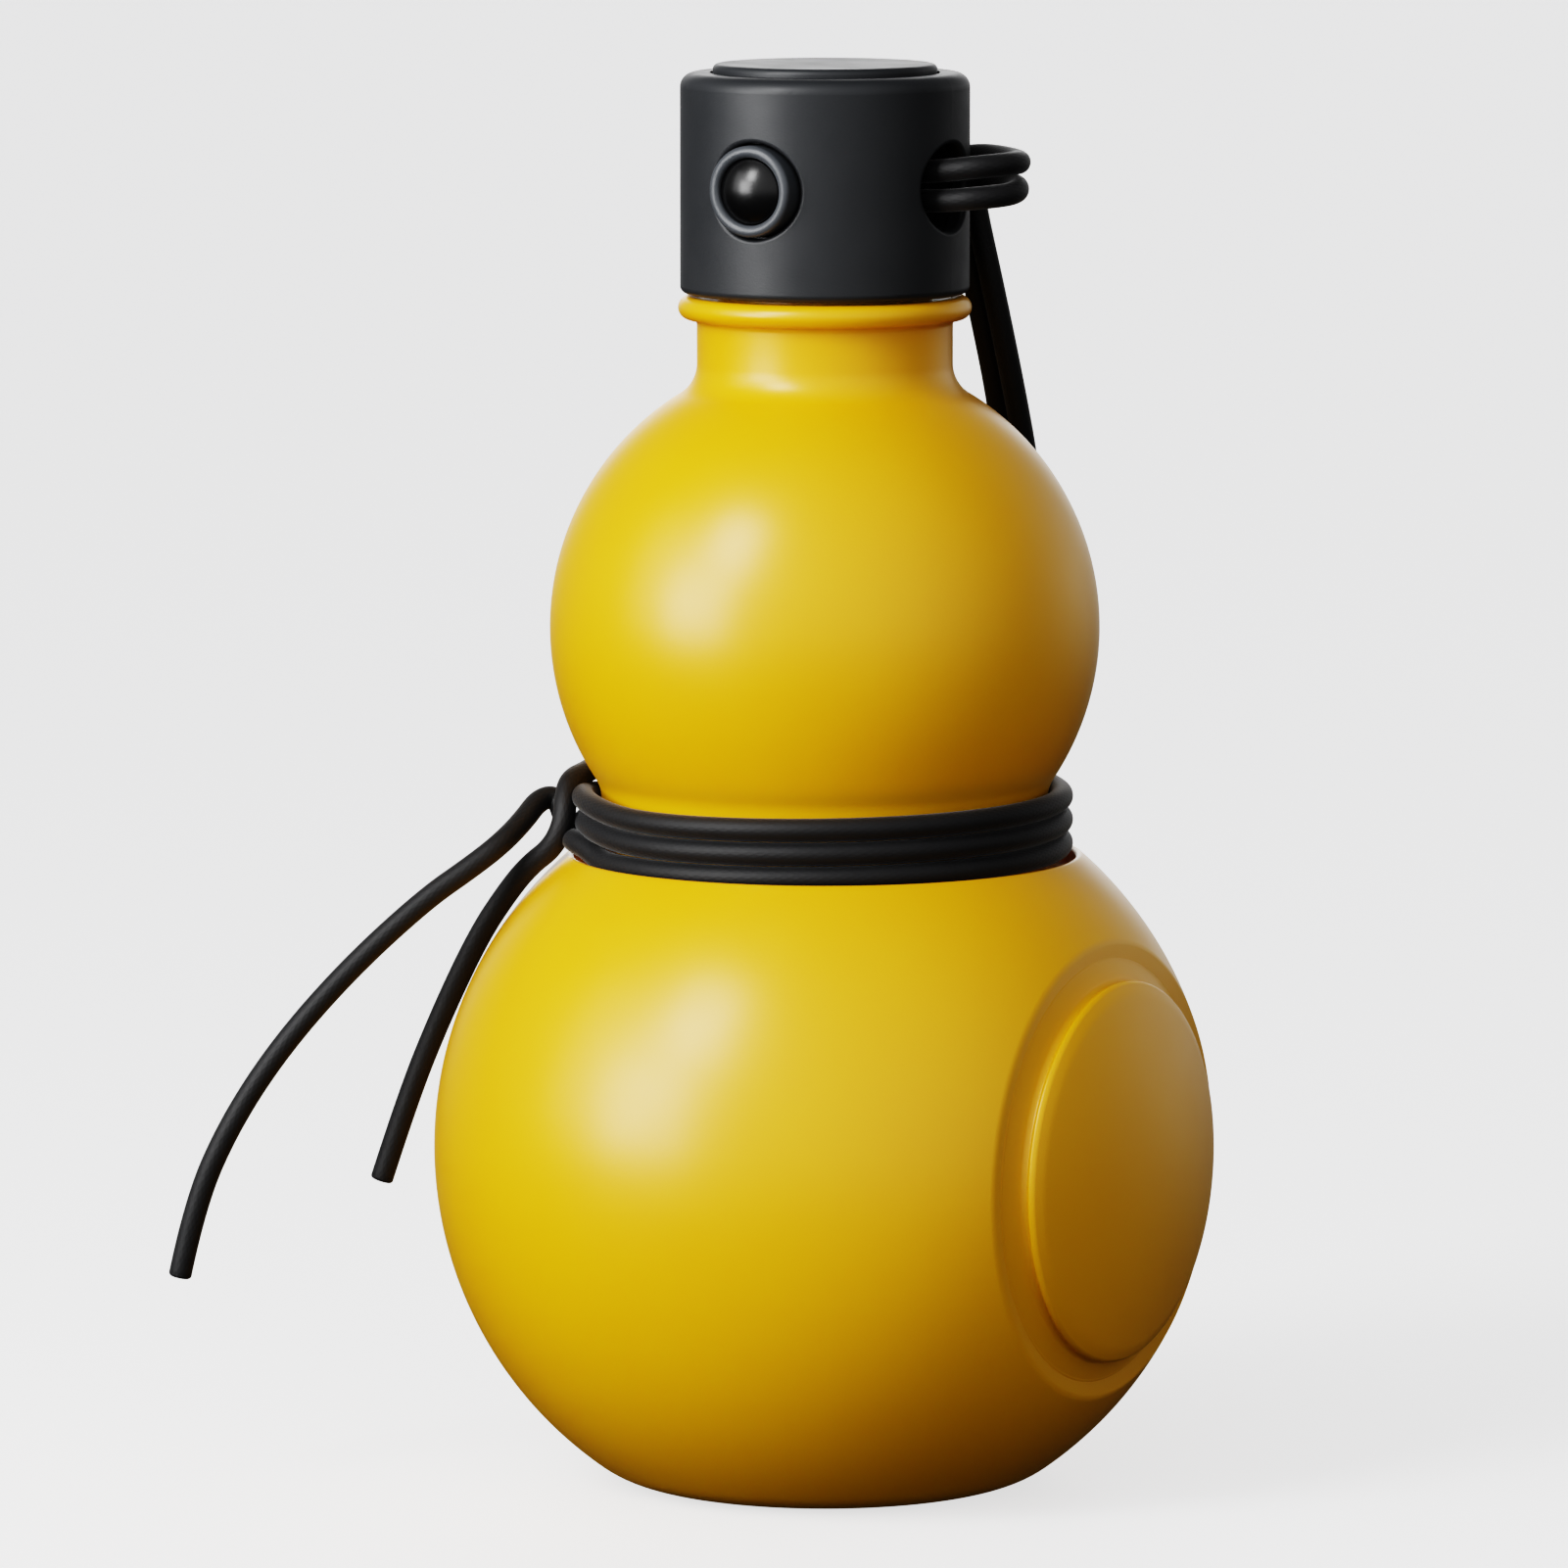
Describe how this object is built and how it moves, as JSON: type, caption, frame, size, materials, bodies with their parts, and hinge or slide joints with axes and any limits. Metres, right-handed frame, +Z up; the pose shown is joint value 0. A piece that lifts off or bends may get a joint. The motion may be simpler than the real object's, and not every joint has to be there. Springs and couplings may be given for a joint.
{
  "type": "water bottle",
  "caption": "Gourd-shaped drinking bottle with a screw cap that holds a push-button cord lock, and a cord leash wound round its waist and knotted.",
  "frame": {"origin": "centre of the foot, on the bottle's axis, at the height that it stands on", "axes": "+Z up along the bottle's axis, +X towards the mouth of the cord bore and the round panel, -Y towards the push button"},
  "size_m": [0.1276, 0.1088, 0.1975],
  "materials": {
    "body_yellow": "satin moulded plastic",
    "cap_charcoal": "satin moulded plastic",
    "adhesive": "foam adhesive",
    "screw_steel": "plain",
    "liner_plastic": "moulded plastic",
    "seal_rubber": "silicone",
    "lock_plastic": "moulded acetal",
    "bezel_grey": "satin",
    "dome_black": "gloss",
    "spring_steel": "plain",
    "cord_black": "smooth round cord"
  },
  "bodies": {
    "bottle": {"bottle_shell": "body_yellow", "waist_winding": "cord_black", "cord_knot": "cord_black", "tail_long": "cord_black", "tail_short": "cord_black", "leash_near": "cord_black", "leash_far": "cord_black"},
    "cap_gasket": {"sealing_gasket": "seal_rubber"},
    "cap": {"cap_shell": "cap_charcoal", "top_disc": "cap_charcoal", "disc_gasket": "adhesive", "cap_screws": "screw_steel", "cap_liner": "liner_plastic", "lock_housing": "lock_plastic", "button_bezel": "bezel_grey", "spring_cup": "lock_plastic", "plunger_spring": "spring_steel", "cap_cord": "cord_black"},
    "button": {"button_dome": "dome_black", "lock_plunger": "lock_plastic"}
  },
  "joints": [
    {"name": "cap_lift", "type": "slide", "parent": "bottle", "child": "cap_gasket", "axis": [0, 0, 1], "range_m": [0, 0.0081], "deforming": ["leash_near", "leash_far"]},
    {"name": "cap_turn", "type": "hinge", "parent": "cap_gasket", "child": "cap", "pos_m": [0, 0, 0.1816], "axis": [0, 0, 1], "range_deg": [0, 720]},
    {"name": "button_press", "type": "slide", "parent": "cap", "child": "button", "axis": [0, 1, 0], "range_m": [0, 0.0022], "stiffness_N_per_m": 900, "springref_m": -0.0022, "deforming": ["plunger_spring"]}
  ],
  "couplings": [
    {"joint": "cap_lift", "follows": "cap_turn", "m_per_rad": 0.00063662}
  ]
}
